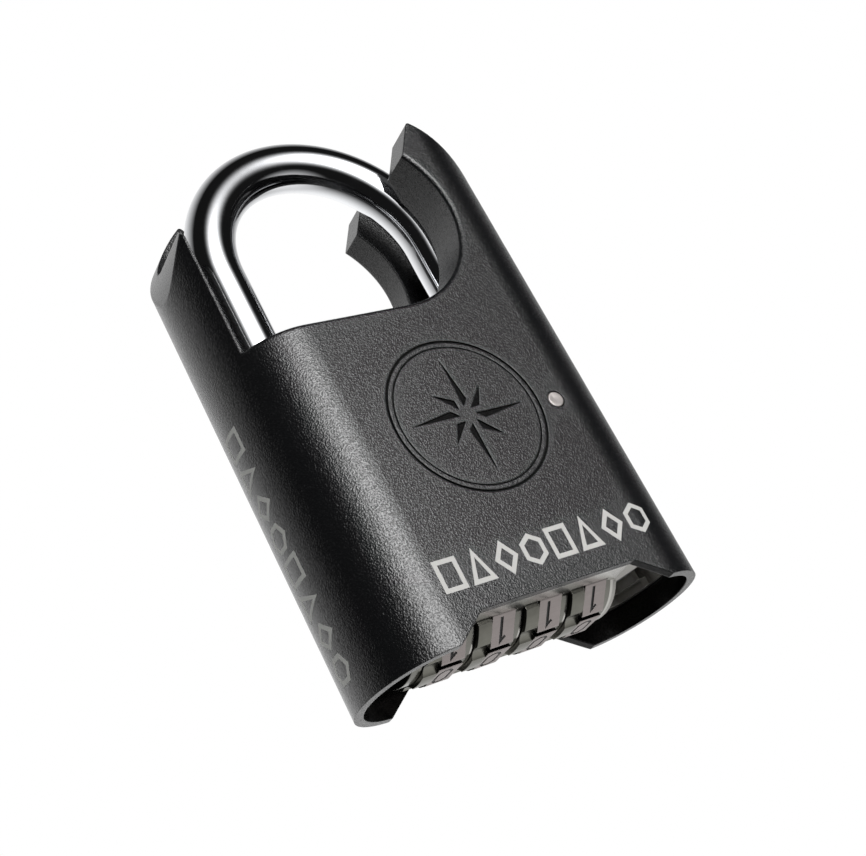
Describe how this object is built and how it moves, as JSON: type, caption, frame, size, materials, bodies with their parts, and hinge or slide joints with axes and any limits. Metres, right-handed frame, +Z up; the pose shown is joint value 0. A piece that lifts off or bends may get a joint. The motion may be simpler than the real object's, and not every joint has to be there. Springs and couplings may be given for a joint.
{
  "type": "combination padlock",
  "caption": "Closed-shackle combination padlock: a black sleeve with horns guards a round chrome shackle, and number dials set the code at the bottom.",
  "frame": {"origin": "middle of the lower rim, where the padlock stands on its two side lobes", "axes": "+X along the dial axis towards the heel leg, +Y to the back, +Z up to the shackle's bow"},
  "size_m": [0.06, 0.0266, 0.0949],
  "materials": {
    "powder_coat": "fine-textured satin black powder coat",
    "case_chrome": "satin chrome",
    "shackle_chrome": "bright chrome plate",
    "dial_metal": "brushed, digits filled black",
    "pin_steel": "bare, slightly peened",
    "steel": "zinc plated",
    "spring_steel": "drawn wire",
    "brass": "turned"
  },
  "bodies": {
    "lock_body": {"outer_shroud": "powder_coat", "lock_case": "case_chrome", "dial_frame": "case_chrome", "spindle": "steel", "spindle_spring": "spring_steel", "detent_balls": "steel", "detent_springs": "spring_steel", "bolt_channel_cover": "steel", "bolt_spring": "spring_steel", "heel_bore_plug": "case_chrome", "retaining_pin": "pin_steel", "case_screws": "steel", "shackle_spring": "spring_steel"},
    "shackle": {"shackle": "shackle_chrome"},
    "lock_bolt": {"lock_bolt": "steel"},
    "dial_1": {"dial_1": "dial_metal", "code_sleeve_1": "brass"},
    "dial_2": {"dial_2": "dial_metal", "code_sleeve_2": "brass"},
    "dial_3": {"dial_3": "dial_metal", "code_sleeve_3": "brass"},
    "dial_4": {"dial_4": "dial_metal", "code_sleeve_4": "brass"}
  },
  "joints": [
    {"name": "shackle_lift", "type": "slide", "parent": "lock_body", "child": "shackle", "axis": [0, 0, 1], "range_m": [0, 0.012], "deforming": ["shackle_spring"]},
    {"name": "lock_bolt_slide", "type": "slide", "parent": "lock_body", "child": "lock_bolt", "axis": [1, 0, 0], "range_m": [0, 0.006]},
    {"name": "dial_1_turn", "type": "hinge", "parent": "lock_body", "child": "dial_1", "pos_m": [-0.0171, 0, 0.0106], "axis": [1, 0, 0], "continuous": true},
    {"name": "dial_2_turn", "type": "hinge", "parent": "lock_body", "child": "dial_2", "pos_m": [-0.0085, 0, 0.0106], "axis": [1, 0, 0], "continuous": true},
    {"name": "dial_3_turn", "type": "hinge", "parent": "lock_body", "child": "dial_3", "pos_m": [0.0001, 0, 0.0106], "axis": [1, 0, 0], "continuous": true},
    {"name": "dial_4_turn", "type": "hinge", "parent": "lock_body", "child": "dial_4", "pos_m": [0.0087, 0, 0.0106], "axis": [1, 0, 0], "continuous": true}
  ],
  "couplings": [
    {"joint": "lock_bolt_slide", "follows": "shackle_lift", "ratio": 0.5}
  ]
}
